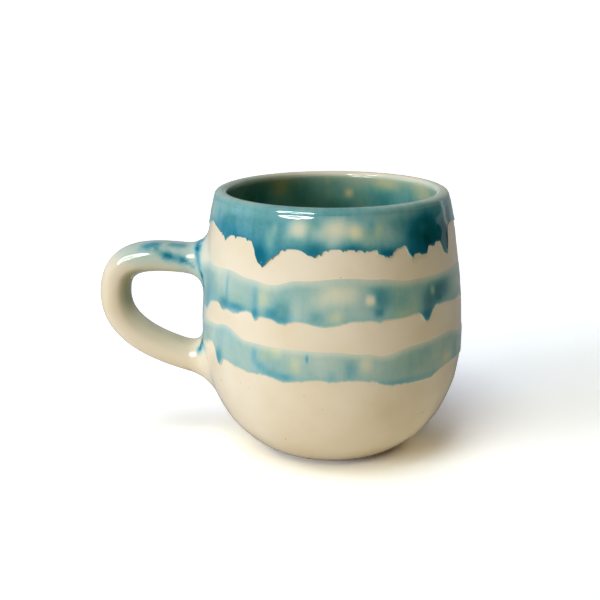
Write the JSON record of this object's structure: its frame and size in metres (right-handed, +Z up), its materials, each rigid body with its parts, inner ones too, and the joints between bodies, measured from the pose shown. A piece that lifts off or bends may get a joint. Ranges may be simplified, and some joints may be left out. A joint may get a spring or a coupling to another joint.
{
  "type": "stoneware mug",
  "caption": "Hand-thrown round-bellied stoneware mug with a pulled strap handle, cream glaze, teal liner, dripping rim band and two pale blue-green bands.",
  "frame": {"origin": "centre of the flat foot, on the surface that the mug stands on", "axes": "+Z up through the mouth, -Z out of the foot, handle along -X"},
  "size_m": [0.1253, 0.0904, 0.09],
  "materials": {
    "stoneware_clay": "bare fired stoneware, matt, fine grog specks",
    "cream_glaze": "glossy warm cream glaze with soft mottling and pinholes",
    "teal_liner": "glossy dark teal-green glaze with olive and beige clouds",
    "rim_teal": "glossy runny teal glaze, pooled to deep blue at its drips",
    "band_celadon": "glossy translucent celadon glaze, pooled to blue along its lower edge"
  },
  "bodies": {
    "root": {"thrown_body": "stoneware_clay", "pulled_handle": "stoneware_clay", "upper_joint_coil": "stoneware_clay", "lower_joint_coil": "stoneware_clay", "cream_coat": "cream_glaze", "handle_coat": "cream_glaze", "liner_glaze": "teal_liner", "rim_glaze": "rim_teal", "middle_band_glaze": "band_celadon", "lower_band_glaze": "band_celadon"}
  },
  "joints": []
}
